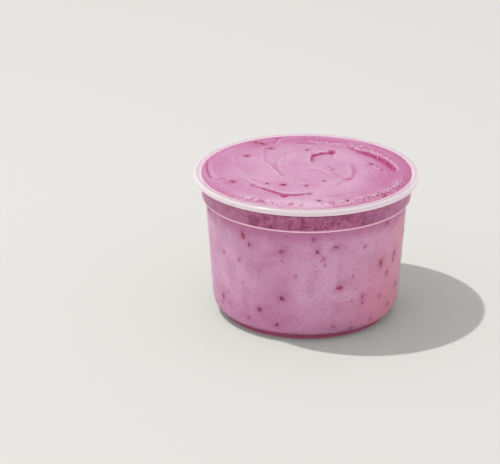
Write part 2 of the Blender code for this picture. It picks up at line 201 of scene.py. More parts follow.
STROKES = {
    "front_lip": Stroke(
        ((-31, -17.5), (-25, -23.8), (-18.5, -29.5), (-13.2, -33.8), (-8, -35.2), (-2.5, -34.2),
         (3.4, -30.2)),
        left=0.6, left_reach=9, right=-0.4, right_reach=3.4, step=0.6, fade=0.3,
    ),
    "bright_ridge": Stroke(
        ((-34, -9.5), (-30.4, -14.2), (-26.8, -18.4), (-23, -22)),
        left=0.1, left_reach=5, ridge=0.4, fade=0.35,
    ),
    "lip_end": Stroke(
        ((3.6, -30), (2, -25.5), (-0.6, -20.5), (-6, -17)),
        left=0.1, left_reach=5, right=-0.15, right_reach=3, ridge=0.25, width=1.2, fade=0.35,
    ),
    "long_crease": Stroke(
        ((-20.5, 38.5), (-22.4, 31), (-22.3, 21), (-21.2, 12.5), (-18.6, 6.5), (-17, 1),
         (-14.8, -5), (-12.4, -11), (-11.4, -16)),
        left=-0.14, left_reach=3, right=0.2, right_reach=8, step=1.6, ridge=0.1,
    ),
    "inner_arc": Stroke(
        ((0, 30.5), (-7, 27), (-12, 21.5), (-14.4, 15.5), (-15, 8), (-14.6, 1.5), (-12.9, -4.5),
         (-11.8, -11)),
        left=0.2, left_reach=9, right=-0.14, right_reach=2.6, step=1.8,
    ),
    "curl_wall": Stroke(
        ((3, 8), (2.6, 14), (2.8, 20), (3.8, 24.2), (6.8, 25.8), (11, 26.8), (15.3, 27.4), (17.5, 26.6)),
        left=0.3, left_reach=5, right=-0.9, right_reach=6.5, step=1.1, fade=0.2,
    ),
    "curl_crest": Stroke(
        ((2.2, 6), (3.8, 3), (7.7, -0.5), (11.6, -5), (14, -9)), ridge=0.45, width=1.5, fade=0.3
    ),
    "lobe_edge": Stroke(
        ((21.6, 13.5), (23, 6), (23.6, -1), (23, -7.5), (20.8, -12), (17, -13.8)),
        left=-0.5, left_reach=5, right=0.45, right_reach=8, step=2.8, fade=0.35,
    ),
    "lobe_tail": Stroke(
        ((18.4, -13), (16.8, -17.5), (14.8, -21.5), (11, -25.4)),
        left=-0.2, left_reach=3, right=0.15, right_reach=4, step=1.6, fade=0.3,
    ),
    "gouge": Stroke(
        ((21.5, 36), (27, 32.4), (32.5, 28.2), (37.5, 22.8), (41.6, 16), (44.6, 9), (46.4, 2), (46, -5.5)),
        left=0.4, left_reach=2.5, right=-1.7, right_reach=5.4, step=1.6, fade=0.3,
    ),
    "gouge_edge": Stroke(
        ((26.5, 12.8), (31, 10.9), (34.4, 8.6), (37.2, 4.8), (39.4, 0), (42.8, -5)),
        left=-0.8, left_reach=2.2, right=0.6, right_reach=3.2, step=0.6,
    ),
    "wall_groove": Stroke(
        ((-51.6, 19), (-51.8, 9), (-51.3, 0), (-50, -8), (-47.6, -14)),
        left=0.15, left_reach=2, ridge=-0.5, width=0.9,
    ),
    "left_fold": Stroke(
        ((-49, -12.6), (-46, -13.6), (-43, -11.8), (-40, -10.4)), ridge=-0.3, width=0.9, fade=0.35
    ),
    "back_notch": Stroke(
        ((-14.6, 54), (-14.2, 48.5), (-15, 43), (-17.5, 38)),
        left=0.4, left_reach=10, right=-0.2, right_reach=4, step=1.4, fade=0.35,
    ),
    "back_bank": Stroke(
        ((-12, 50), (0, 51.4), (14, 49.6), (26, 44.4), (36, 36.8)), ridge=0.8, width=3.5, fade=0.25
    ),
    "back_hollow": Stroke(((-9, 41), (-3, 42), (4, 41.4), (10, 38.6)), ridge=-0.4, width=1.8, fade=0.4),
    "back_ridge": Stroke(((-8, 36), (0, 36.6), (9, 35.4), (17, 32)), ridge=0.2, width=1.4, fade=0.4),
    "left_stroke": Stroke(
        ((-30, 36), (-35.5, 27), (-37.5, 16), (-35.5, 5), (-30.5, -5), (-23, -14)),
        left=-0.06, left_reach=5, right=0.14, right_reach=7, step=2.4, fade=0.35,
    ),
    "left_streak": Stroke(((-43, 28), (-38, 31), (-31, 33.6)), ridge=0.2, fade=0.4),
    "middle_streak": Stroke(((-5, 24), (-8.5, 17), (-9.5, 9), (-8, 1)), ridge=0.15, width=1.3, fade=0.4),
    "right_stroke": Stroke(((27, 22), (33, 14), (36.5, 4)), ridge=-0.2, width=2.0, fade=0.4),
    "front_right_edge": Stroke(
        ((50.5, -9), (48, -19), (43, -28.5), (35.5, -36.6), (26, -42), (15, -45.4)),
        left=-0.5, left_reach=6, right=0.25, right_reach=6, step=1.8, fade=0.3,
    ),
    "front_left_edge": Stroke(
        ((-43, -29), (-35, -37.4), (-25, -43.4), (-13, -46.8), (0, -47.8), (12, -47.6)),
        left=0.2, left_reach=6, right=-0.35, right_reach=4, step=1.8, fade=0.35,
    ),
    "front_streak": Stroke(((6, -36.4), (13, -36.4), (20, -34.4)), ridge=-0.2, width=1.4, fade=0.4),
}

# A small pit, with its depth and the reach over which it fades.
Pit = namedtuple("Pit", "x y depth reach")

PITS = [Pit(*row) for row in (
    (-12, -36.2, 0.9, 1.9),
    (0.8, -33.2, 0.6, 1.7),
    (-27.6, -21.2, 0.5, 1.7),
    (4.6, 25, 0.6, 1.9),
    (14.2, 28.4, 1.5, 1.8),
    (39.2, -0.2, 1.2, 1.1),
    (37.1, 4.8, 0.7, 1.0),
    (20.6, -12, 0.8, 3.0),
    (38.8, -38.2, 0.9, 1.3),
    (-13.4, 49.4, 0.7, 1.7),
    (24.6, 34, 0.6, 1.4),
    (19.6, -44, 0.5, 1.5),
    (-31, 21.8, 0.4, 1.8),
)]

# Where the surface is rough with ice: a route and how wide the patch is.
Patch = namedtuple("Patch", "route width")

ROUGH_PATCHES = (
    Patch(((25, 35.5), (32.5, 31), (38.5, 24), (43, 17)), 2.2),
    Patch(((48, -17), (44, -26), (37.5, -34.5), (29, -41.5), (19, -46), (8, -49)), 3.0),
    Patch(((-31, -40), (-24, -44.5), (-14, -48), (-4, -49.5)), 2.4),
    Patch(((5, 43.5), (14, 41.5), (22, 39.5), (29, 37)), 2.2),
    Patch(((-19, 3), (-16.5, -2), (-14, -8)), 1.3),
    Patch(((9, 3.5), (13.5, 1), (17, -4)), 2.2),
    Patch(((-25, -27.5), (-20, -31)), 1.2),
)

CURVE_STEPS = 7
GRAIN_SIZE = 1.1 * MM
LUMP_SIZE = 2.2 * MM
SWELL_SIZE = 11.0 * MM
RING_BEAD = 0.35 * MM
RING_BEAD_RADIUS = 49.0 * MM
RING_BEAD_WIDTH = 3.5 * MM
EDGE_SHOULDER_RADIUS = 49.5 * MM
EDGE_DROP = 0.1 * MM
STIR_AMPLITUDE = 0.16 * MM
STIR_PITCH = 24.0 * MM


def ease(amount):
    """A smooth step from 0 to 1."""
    amount = np.clip(amount, 0.0, 1.0)
    return amount * amount * (3.0 - 2.0 * amount)


@lru_cache
def curve_through(route):
    """A smooth curve through a route's points, in metres."""
    points = [Vector(point) * MM for point in (route[0], *route, route[-1])]
    curve = [points[0]]
    for before, start, end, after in zip(points, points[1:], points[2:], points[3:]):
        leaving = start + (end - before) / 6
        arriving = end - (after - start) / 6
        curve += interpolate_bezier(start, leaving, arriving, end, CURVE_STEPS)[1:]
    return np.array(curve)


def beside_curve(route, x, y):
    """The distance to a route's curve, above 0 to its left, and how far along it is nearest, from 0 to 1."""
    curve = curve_through(route)
    nearest = np.full(np.shape(x), np.inf)
    aside = np.zeros(np.shape(x))
    along = np.zeros(np.shape(x))
    for number, (start, end) in enumerate(zip(curve, curve[1:])):
        way_x, way_y = end - start
        from_x = x - start[0]
        from_y = y - start[1]
        share = np.clip((from_x * way_x + from_y * way_y) / (way_x * way_x + way_y * way_y), 0.0, 1.0)
        distance = np.hypot(from_x - share * way_x, from_y - share * way_y)
        side = np.sign(way_x * from_y - way_y * from_x)
        closer = distance < nearest
        nearest = np.where(closer, distance, nearest)
        aside = np.where(closer, side * distance, aside)
        along = np.where(closer, (number + share) / (len(curve) - 1), along)
    return aside, along


def stroke_height(stroke, x, y):
    aside, along = beside_curve(stroke.route, x, y)
    strength = ease(along / stroke.fade) * ease((1.0 - along) / stroke.fade) * MM
    left = stroke.left * np.exp(-np.maximum(aside, 0.0) / (stroke.left_reach * MM))
    right = stroke.right * np.exp(-np.maximum(-aside, 0.0) / (stroke.right_reach * MM))
    ridge = stroke.ridge * np.exp(-((aside / (stroke.width * MM)) ** 2))
    return strength * (right + (left - right) * ease(aside / (stroke.step * MM) + 0.5) + ridge)


def pit_depth(pit, x, y):
    away = np.hypot(x - pit.x * MM, y - pit.y * MM)
    return pit.depth * MM * np.exp(-((away / (pit.reach * MM)) ** 2))


def roughness(x, y):
    """How rough a place is with ice, from 0 to 1."""
    rough = np.zeros(np.shape(x))
    for patch in ROUGH_PATCHES:
        aside, _ = beside_curve(patch.route, x, y)
        rough = np.maximum(rough, np.exp(-((aside / (patch.width * MM)) ** 2)))
    return rough


def surface_height(x, y, reach, sizes):
    """The blend's top at a place: a low dome with a bead near the wall, and the spoon's marks on it."""
    away = np.hypot(x, y)
    height = sizes.level + sizes.dome * (1.0 - (away / reach) ** 2)
    height = height + RING_BEAD * np.exp(-(((away - RING_BEAD_RADIUS) / RING_BEAD_WIDTH) ** 2))
    edge = np.maximum(away - EDGE_SHOULDER_RADIUS, 0.0) / (reach - EDGE_SHOULDER_RADIUS)
    height = height - EDGE_DROP * edge * edge
    stir = 2 * math.pi * away / STIR_PITCH - np.arctan2(y, x)
    height = height + STIR_AMPLITUDE * np.sin(stir) * ease(away / STIR_PITCH) * (1.0 - edge)
    marks = sum(stroke_height(stroke, x, y) for stroke in STROKES.values())
    marks = marks - sum(pit_depth(pit, x, y) for pit in PITS)
    return height + marks * (1.0 - edge ** 3)


def evened(heights, edges, passes):
    """Heights averaged with their neighbours', as many times as passes says."""
    first = np.concatenate((edges[:, 0], edges[:, 1]))
    second = np.concatenate((edges[:, 1], edges[:, 0]))
    number = len(heights)
    shared = 1 + np.bincount(first, minlength=number)
    for _ in range(passes):
        heights = (heights + np.bincount(first, weights=heights[second], minlength=number)) / shared
    return heights


# Outlines in the turning plane, as (radius, height)

# How finely their rounds are made. The shoulder starts a little past level, where the ledge rises to meet it.
CORNER_STEPS = 12
SHOULDER_STEPS = 8
SHOULDER_FIRST = -86
MOUTH_STEPS = 6
SMALL_STEPS = 4
LIP_STEPS = 3


def arc_points(centre, half_width, half_height, first, last, steps):
    """Points of a quarter ellipse, both ends included."""
    points = []
    for step in range(steps + 1):
        turn = math.radians(first + (last - first) * step / steps)
        points.append((centre[0] + half_width * math.cos(turn), centre[1] + half_height * math.sin(turn)))
    return points


def inner_wall(tub, gap):
    """The tub's inside from the floor's edge to the collar's foot, moved inwards by gap."""
    inset = tub.wall + gap
    corner = arc_points(
        (tub.corner_start - inset, tub.corner_height),
        tub.corner_radius - tub.corner_start,
        tub.corner_height - tub.underside_lift - tub.floor - gap,
        -90, 0, CORNER_STEPS,
    )
    rounding = tub.shoulder - tub.wall / 2
    shoulder = arc_points(
        (tub.collar_foot - tub.wall - rounding, tub.ledge_height + tub.shoulder),
        rounding - gap,
        rounding - gap,
        -90, 0, SHOULDER_STEPS,
    )
    return corner + [(tub.ledge_radius - inset, tub.ledge_height + gap)] + shoulder


def tub_outline(tub):
    """The closed outline of the tub, from the underside's centre round the outside and back."""
    small = 0.0003
    foot_inner = tub.foot_radius - tub.foot_width
    outline = [
        (0.0, tub.underside_lift),
        (foot_inner - small, tub.underside_lift),
        (foot_inner, 0.0),
    ]
    outline += arc_points((tub.foot_radius - small, small), small, small, -90, 0, SMALL_STEPS)
    outline += [(tub.foot_radius, tub.foot_height - small), (tub.foot_radius + small / 2, tub.foot_height)]
    outline += arc_points(
        (tub.corner_start, tub.corner_height),
        tub.corner_radius - tub.corner_start,
        tub.corner_height - tub.foot_height - small,
        -90, 0, CORNER_STEPS,
    )
    outline.append((tub.ledge_radius, tub.ledge_height))
    outline += arc_points(
        (tub.collar_foot - tub.shoulder, tub.ledge_height + tub.shoulder),
        tub.shoulder,
        tub.shoulder,
        SHOULDER_FIRST, 0, SHOULDER_STEPS,
    )
    under_flange = tub.height - tub.flange
    lip_foot = tub.height - tub.lip_depth
    lip_inner = tub.rim_radius - tub.lip_thickness
    rounding = 0.0009
    outline += arc_points(
        (tub.collar_top + rounding, under_flange - rounding), rounding, rounding, 180, 90, SMALL_STEPS
    )
    outline += [(lip_inner - small, under_flange), (lip_inner, under_flange - small)]
    outline += arc_points((lip_inner + small, lip_foot + small), small, small, 180, 270, LIP_STEPS)
    outline += arc_points((tub.rim_radius - small, lip_foot + small), small, small, -90, 0, LIP_STEPS)
    high = tub.height - rounding
    outline += arc_points((tub.rim_radius - rounding, high), rounding, rounding, 0, 90, MOUTH_STEPS)
    mouth = tub.collar_top - tub.wall
    outline += arc_points((mouth + rounding, high), rounding, rounding, 90, 180, MOUTH_STEPS)
    outline += reversed(inner_wall(tub, 0.0))
    outline.append((0.0, tub.underside_lift + tub.floor))
    return outline


def blend_mouth(tub, sizes):
    """The radius of the blend at the tub's mouth."""
    return tub.collar_top - tub.wall + sizes.wall_bite


# Making pieces

def turn(outline, steps):
    """Turns an outline about Z, with its points on the axis merged."""
    shape = bmesh.new()
    points = [shape.verts.new((radius, 0.0, height)) for radius, height in outline]
    edges = [shape.edges.new(pair) for pair in zip(points, points[1:])]
    bmesh.ops.spin(
        shape,
        geom=points + edges,
        cent=(0, 0, 0),
        axis=(0, 0, 1),
        angle=2 * math.pi,
        steps=steps,
        use_merge=True,
    )
    bmesh.ops.remove_doubles(shape, verts=shape.verts, dist=0.001 * MM)
    bmesh.ops.recalc_face_normals(shape, faces=shape.faces)
    return shape


def add_disc(shape, rings, radius):
    """A round disc of even triangles at height 0: a hexagon split into rings, its sides pressed outwards."""
    bmesh.ops.create_circle(shape, cap_ends=True, cap_tris=True, segments=6, radius=radius)
    bmesh.ops.subdivide_edges(shape, edges=list(shape.edges), cuts=rings - 1, use_grid_fill=True)
    side_angle = math.pi / 3
    for point in shape.verts:
        # The hexagon's corners are at 30 degrees and every 60 degrees on, its sides' middles in between.
        from_middle = (math.atan2(point.co.y, point.co.x) + side_angle / 2) % side_angle - side_angle / 2
        point.co.xy = point.co.xy * math.cos(from_middle) / math.cos(side_angle / 2)


def add_piece(name, shape, material, node=None, sharp=35):
    mesh = bpy.data.meshes.new(name)
    shape.to_mesh(mesh)
    shape.free()
    mesh.materials.append(material)
    mesh.shade_smooth()
    mesh.set_sharp_from_angle(angle=math.radians(sharp))
    piece = bpy.data.objects.new(name, mesh)
    bpy.context.scene.collection.objects.link(piece)
    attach(piece, "root")
    if node:
        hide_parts(node)
    return piece


# Shader maths

# The sockets of a Mix node that mixes colours, and its output.
MIX_AMOUNT, MIX_FIRST, MIX_SECOND, MIX_RESULT = 0, 6, 7, 2


class Value:
    """A socket of a material's nodes. Arithmetic on it adds Math nodes."""

    def __init__(self, finish, socket):
        self.finish = finish
        self.socket = socket

    def __add__(self, other):
        return self.finish.math("ADD", self, other)

    __radd__ = __add__

    def __sub__(self, other):
        return self.finish.math("SUBTRACT", self, other)

    def __rsub__(self, other):
        return self.finish.math("SUBTRACT", other, self)

    def __mul__(self, other):
        return self.finish.math("MULTIPLY", self, other)

    def __truediv__(self, other):
        return self.finish.math("DIVIDE", self, other)


class Finish:
    """A material whose nodes are added by expressions."""

    def __init__(self, name):
        self.material = bpy.data.materials.new(name)
        self.material.use_nodes = True
        self.tree = self.material.node_tree
        self.tree.nodes.clear()
        self.output = self.tree.nodes.new("ShaderNodeOutputMaterial")

    def node(self, kind, settings=None, inputs=None, output=0):
        """Adds a node, sets what it is, gives its sockets their values or links, and returns one output."""
        added = self.tree.nodes.new(kind)
        for key, value in (settings or {}).items():
            if key == "stops":
                while len(added.color_ramp.elements) < len(value):
                    added.color_ramp.elements.new(1.0)
                for stop, (position, tone) in zip(added.color_ramp.elements, value):
                    stop.position = position
                    stop.color = (*tone, 1.0)
            else:
                setattr(added, key, value)
        for key, value in (inputs or {}).items():
            if isinstance(value, Value):
                self.tree.links.new(value.socket, added.inputs[key])
            else:
                added.inputs[key].default_value = value
        return Value(self, added.outputs[output])

    def math(self, operation, *values):
        return self.node("ShaderNodeMath", {"operation": operation}, dict(enumerate(values)))

    def place(self):
        return self.node("ShaderNodeTexCoord", output="Object")

    def part_of(self, vector, axis):
        return self.node("ShaderNodeSeparateXYZ", inputs={0: vector}, output=axis)

    def part_of_place(self, axis):
        return self.part_of(self.place(), axis)

    def away(self):
        """The distance from the tub's axis."""
        across = self.part_of_place("X")
        back = self.part_of_place("Y")
        return self.math("SQRT", across * across + back * back)

    def attribute(self, name):
        return self.node("ShaderNodeAttribute", {"attribute_name": name}, output="Fac")

    def noise(self, size, detail=2.0, roughness=0.5, distortion=0.0):
        """Noise whose features are about size across."""
        return self.node(
            "ShaderNodeTexNoise",
            inputs={
                "Vector": self.place(),
                "Scale": 1.0 / size,
                "Detail": detail,
                "Roughness": roughness,
                "Distortion": distortion,
            },
        )

    def smooth(self, value, low, high):
        """0 below low, 1 above high, and a smooth step between."""
        return self.node(
            "ShaderNodeMapRange",
            {"interpolation_type": "SMOOTHSTEP"},
            {"Value": value, "From Min": low, "From Max": high},
        )

    def clouds(self, low, high, size, detail=2.0, roughness=0.5, distortion=0.0):
        """Noise with its middle tones spread: 0 where it is below low and 1 where it is above high."""
        return self.smooth(self.noise(size, detail, roughness, distortion), low, high)

    def line_at(self, value, middle, half, fade):
        """1 where value is within half of middle, and 0 from fade away."""
        return 1.0 - self.smooth(self.math("ABSOLUTE", value - middle), half, fade)

    def mix(self, amount, first, second):
        """A colour between two colours."""
        inputs = {MIX_AMOUNT: amount, MIX_FIRST: self.rgba(first), MIX_SECOND: self.rgba(second)}
        return self.node("ShaderNodeMix", {"data_type": "RGBA"}, inputs, MIX_RESULT)

    def layered(self, tone, *layers):
        """A colour with others laid over it, each given as its amount and itself."""
        for amount, layer in layers:
            tone = self.mix(amount, tone, layer)
        return tone

    def specks(self, spacing, radius, share_kept):
        """Round specks of up to radius in a share of the cells of a grid, from 0 to 1 at their middles."""
        cell = {"Vector": self.place(), "Scale": 1.0 / spacing}
        distance = self.node("ShaderNodeTexVoronoi", inputs=cell, output="Distance")
        tone = self.node("ShaderNodeTexVoronoi", inputs=cell, output="Color")
        kept = self.node("ShaderNodeSeparateColor", inputs={0: tone}, output=0)
        size = self.node("ShaderNodeSeparateColor", inputs={0: tone}, output=1)
        limit = (0.35 + size * 0.65) * (radius / spacing)
        inside = 1.0 - self.smooth(distance / limit, 0.55, 1.1)
        return inside * (1.0 - self.smooth(kept, share_kept, share_kept + 0.01))

    def bump(self, height, depth):
        """A normal bent by height, which is from 0 to 1 for depth in metres."""
        return self.node("ShaderNodeBump", inputs={"Height": height, "Distance": depth, "Strength": 1.0})

    def principled(self, **inputs):
        named = {key.replace("_", " "): value for key, value in inputs.items()}
        return self.node("ShaderNodeBsdfPrincipled", inputs=named)

    def shown(self, shader):
        self.tree.links.new(shader.socket, self.output.inputs["Surface"])
        return self.material

    @staticmethod
    def rgba(tone):
        return tone if isinstance(tone, Value) else (*tone, 1.0)


# Finishes

def plastic_finish(colours, tub):
    """Clear plastic: a milky lip, a flange tinted by the blend, a thin haze, painted highlight lines at ledge
    and foot, and painted glow at the mouth, lip, ledge and foot ring.
    """
    finish = Finish("clear_plastic")
    height = finish.part_of_place("Z")
    away = finish.away()
    cloud = finish.noise(0.009, 3.0)
    mouth_radius = tub.collar_top - tub.wall
    outwards = finish.smooth(away, mouth_radius, tub.rim_radius - 0.0006)
    mouth = finish.smooth(height, tub.height - 0.0024, tub.height - 0.0018)
    past_collar = finish.smooth(away, tub.collar_top + 0.0002, tub.collar_top + 0.0009)
    past_mouth = finish.smooth(away, mouth_radius, mouth_radius + 0.0004)
    flat_top = finish.smooth(height, tub.height - 0.0014, tub.height - 0.0008)
    flange = finish.math("MAXIMUM", past_collar, flat_top * past_mouth)
    lip = finish.smooth(away, tub.rim_radius - 0.0014, tub.rim_radius - 0.0008)
    # Painted highlights: the ledge's round and a line above the foot are made more opaque, so that they show
    # as pale lines.
    ledge = finish.smooth(height, tub.ledge_height, tub.ledge_height + 0.0002)
    ledge = ledge * (1.0 - finish.smooth(height, tub.ledge_height + 0.0008, tub.ledge_height + 0.0022))
    foot_highlight_line = finish.line_at(height, tub.foot_height + 0.0015, 0.0004, 0.0010)
    foot = 1.0 - finish.smooth(height, tub.foot_height - 0.0002, tub.foot_height + 0.0001)
    edge_on = finish.node("ShaderNodeLayerWeight", inputs={"Blend": 0.12}, output="Facing")
    haze = 0.03 + cloud * 0.03 + flange * (0.74 - outwards * 0.24) + lip * 0.26
    haze = haze + ledge * 0.64 + foot_highlight_line * 0.70 + foot * 0.8
    shaded = finish.node("ShaderNodeLightPath", output="Is Shadow Ray") * mouth
    tone = finish.layered(colours.rim_pink, (outwards, colours.plastic), (foot, colours.foot))
    # Painted glow: emission at the mouth, the lip, the ledge's round and the foot ring.
    glow = finish.layered(
        (0.0, 0.0, 0.0),
        (mouth * (1.0 - outwards), colours.mouth_painted_glow),
        (lip, colours.rim_painted_glow),
        (ledge, colours.ledge_painted_glow),
        (foot, colours.foot_painted_glow),
    )
    glossy = finish.principled(
        Base_Color=tone,
        Roughness=0.14 + cloud * 0.08,
        IOR=1.49,
        Subsurface_Weight=0.6,
        Subsurface_Radius=(0.0040, 0.0034, 0.0038),
        Subsurface_Scale=1.0,
        Emission_Color=glow,
        Emission_Strength=1.0,
    )
    clear = finish.node("ShaderNodeBsdfTransparent")
    shown = finish.math("MINIMUM", haze + edge_on * 0.22 + shaded, 1.0)
    shader = finish.node("ShaderNodeMixShader", inputs={0: shown, 1: clear, 2: glossy})
    return finish.shown(shader)


def blend_finish(colours, tub):
    """Moist frozen blend: streaked pinks, pale where ice shows, stained round flecks; painted shade in
    creases, hollows, on steep slopes, under the ledge, under the rim and by the foot, painted light on
    crests, and a painted reddish glow towards the right of the side.
    """
    finish = Finish("berry_blend")
    height = finish.part_of_place("Z")
    across = finish.part_of_place("X")
    towards_back = finish.part_of_place("Y")
    away = finish.away()
    on_top, crease, crest, hollow, rough, stain = map(
        finish.attribute, ("top", "crease", "crest", "hollow", "rough", "stain")
    )

    broad = finish.clouds(0.30, 0.70, 0.024, 3.0, 0.55)
    streaks = finish.clouds(0.35, 0.75, 0.007, 4.0, 0.6, distortion=0.8)
    fine = finish.clouds(0.50, 0.74, 0.0017, 3.0, 0.6)
    broken = finish.clouds(0.42, 0.56, 0.0034, 3.0, 0.6)
    icy = rough * finish.clouds(0.52, 0.62, 0.0013, 2.0, 0.6)
    juicy = rough * finish.clouds(0.50, 0.65, 0.0030, 2.0, 0.5)

    front = finish.smooth(towards_back * -1.0, 0.026, 0.050) * (1.0 - finish.smooth(across, 0.004, 0.026))
    side = finish.smooth(away, 0.028, 0.052) * (1.0 - front)
    back = finish.smooth(towards_back, 0.020, 0.052)
    right = finish.smooth(across, 0.024, 0.048)
    # Painted shade on the steep slopes of the top.
    upright = finish.part_of(finish.node("ShaderNodeNewGeometry", output="Normal"), "Z")
    steep_shade = 1.0 - finish.smooth(upright, 0.68, 0.95)
    top_tone = finish.layered(
        colours.blend,
        (broad * 0.35 + streaks * 0.25 + front * 0.70, colours.blend_pale),
        (side * 0.40 + back * 0.30, colours.blend_deep),
        (right * 0.65, colours.blend_deep),
        # Painted shade in hollows.
        (hollow * 0.58, colours.blend_deep),
        # Painted light on crests.
        (crest * 0.68, colours.blend_pale),
        # Painted shade in creases and on steep slopes. The stains and the juicy patches are the blend's own
        # colour.
        (crease * 0.80, colours.crease),
        (steep_shade * (0.30 + broken * 0.45), colours.crease),
        (juicy * 0.65, colours.crease),
        (icy * 0.42, colours.ice),
    )

    # Painted light: redder towards the right and the bottom, standing in for light passing through the blend,
    # broken up by noise.
    drift = across * 11.0 - height * 3.0 + finish.noise(0.03, 2.0) * 0.5
    painted_warm_light = finish.smooth(drift, 0.28, 0.80)
    mottle = finish.clouds(0.42, 0.66, 0.0095, 3.0, 0.6, distortion=0.4)
    # Painted shade in a band left of the middle, and darker towards the bottom.
    shade = finish.smooth(across, -0.042, -0.026) * (1.0 - finish.smooth(across, -0.016, 0.002))
    low = 1.0 - finish.smooth(height, 0.004, 0.030)
    # Painted shade by the foot.
    shade_by_foot = 1.0 - finish.smooth(height, tub.foot_height + 0.0007, tub.foot_height + 0.0014)
    # Painted shade under the ledge, its lower edge made uneven by noise.
    uneven_edge = finish.noise(0.004, 3.0, 0.6) * 0.006
    shade_under_ledge = finish.smooth(height + uneven_edge, tub.ledge_height - 0.0060, tub.ledge_height + 0.0020)
    wall_tone = finish.layered(
        colours.wall,
        (broad * 0.55 + streaks * 0.28 + 0.22, colours.wall_pale),
        (mottle * 0.36, colours.wall_deep),
        (low * 0.42 + shade * 0.26, colours.wall_deep),
        (painted_warm_light * 0.75, colours.wall_painted_warm_light),
        (shade_by_foot * 0.85, colours.dark_blotches_and_shade),
        (shade_under_ledge * 0.75, colours.wall_deep),
    )

    collar = finish.smooth(height, tub.ledge_height, tub.ledge_height + 0.0010)
    blotch = finish.clouds(0.38, 0.64, 0.0045, 4.0, 0.65)
    vein = finish.line_at(finish.noise(0.0028, 3.0, 0.6, distortion=1.2), 0.50, 0.008, 0.035)
    collar_side = finish.smooth(finish.math("ABSOLUTE", across), 0.020, 0.050)
    # Painted shadow of the lip on the collar, just under the rim.
    lip_shadow = finish.smooth(height, tub.height - 0.0056, tub.height - 0.0045)
    collar_tone = finish.layered(
        colours.collar,
        (blotch, colours.dark_blotches_and_shade),
        (vein * 0.30, colours.blend_pale),
        (collar_side * 0.45, colours.wall),
        (lip_shadow * 0.9, colours.dark_blotches_and_shade),
    )

    sunk_small = finish.specks(0.0028, 0.00065, 0.36)
    sunk_large = finish.specks(0.0070, 0.0016, 0.30)
    bounced = finish.node("ShaderNodeLightPath", output="Is Diffuse Ray")
    tone = finish.layered(
        wall_tone,
        (collar, collar_tone),
        (on_top, top_tone),
        (fine * 0.16, colours.blend_deep),
        (stain * 0.50, colours.crease),
        (sunk_small * (0.66 - on_top * 0.30), colours.skin_sunk),
        (sunk_large * (0.45 - on_top * 0.20), colours.skin_sunk),
        (bounced * (1.0 - on_top), colours.bounce),
    )
    normal = finish.bump(finish.noise(0.0011, 3.0, 0.6), 0.00010)
    shader = finish.principled(
        Base_Color=tone,
        Roughness=0.44 + fine * 0.10 - rough * 0.12,
        IOR=1.34,
        Subsurface_Weight=0.20,
        Subsurface_Radius=(0.0020, 0.0007, 0.0011),
        Subsurface_Scale=1.0,
        Normal=normal,
    )
    return finish.shown(shader)


def skin_finish(colours):
    """Bits of berry skin, from dark magenta to a rusty red."""
    finish = Finish("berry_skin")
    tone = finish.node(
        "ShaderNodeValToRGB",
        {"stops": ((0.38, colours.seed), (0.50, colours.skin), (0.62, colours.skin_rusty))},
        {0: finish.noise(0.0055, 1.0)},
    )
    shader = finish.principled(
        Base_Color=tone, Roughness=0.30 + finish.noise(0.0008) * 0.2, IOR=1.4, Coat_Weight=0.2
    )
    return finish.shown(shader)


def seed_finish(colours):
    """Bits of seed, dark plum with paler grain."""
    finish = Finish("seed")
    tone = finish.mix(finish.noise(0.0012), colours.seed, tuple(2.4 * part for part in colours.seed))
    shader = finish.principled(Base_Color=tone, Roughness=0.35 + finish.noise(0.0009) * 0.2, IOR=1.45)
    return finish.shown(shader)


def ice_finish(colours):
    """Grains of ice, pale pink and glossy."""
    finish = Finish("ice")
    tone = finish.mix(finish.noise(0.002), colours.ice, colours.blend_pale)
    shader = finish.principled(Base_Color=tone, Roughness=0.08 + finish.noise(0.001) * 0.1, IOR=1.31)
    return finish.shown(shader)


def table_finish(colours):
    """The plain pale floor."""
    finish = Finish("pale_table")
    tone = finish.mix(finish.noise(0.3, 2.0), colours.table, tuple(0.995 * part for part in colours.table))
    return finish.shown(finish.principled(Base_Color=tone, Roughness=0.9, Specular_IOR_Level=0.0))


# Flecks

# Bits of berry skin in the surface: place, length and width in millimetres, heading in degrees.
Fleck = namedtuple("Fleck", "x y length width heading")
FLECK_THICKNESS = 1.0 * MM
FLECK_LIFT = -0.15 * MM
ICE_LIFT = -0.2 * MM
SIDE_THICKNESS = 0.5 * MM
SPECK_THICKNESS = 0.3 * MM
SIDE_SUNK = 0.1 * MM

TOP_SKINS = [Fleck(*row) for row in (
    (-26.2, 42.4, 3.6, 2.2, 96),
    (-23.0, 40.8, 3.8, 1.7, 150),
    (-31.0, 22.0, 4.2, 1.5, 40),
    (-38.2, -17.0, 4.6, 1.5, 118),
    (-20.6, -20.2, 1.9, 1.4, 90),
    (-12.4, -22.4, 3.8, 1.7, 4),
    (-0.6, -23.6, 2.4, 1.2, 60),
    (13.6, 28.6, 3.4, 2.0, 100),
    (1.0, 30.2, 2.0, 1.2, 20),
    (-18.4, 32.6, 4.0, 1.1, 8),
    (38.8, -0.8, 2.2, 1.5, 130),
    (33.8, 8.6, 2.6, 1.4, 140),
    (19.6, -43.6, 2.6, 1.7, 95),
    (5.2, -44.4, 3.0, 1.9, 80),
    (38.6, -34.6, 3.2, 1.5, 88),
    (8.4, -16.4, 1.8, 1.1, 75),
)]

# Bits that show through the wall: angle from the front in degrees, height, length and width in millimetres,
# and heading from level in degrees.
SideFleck = namedtuple("SideFleck", "turn height length width heading")

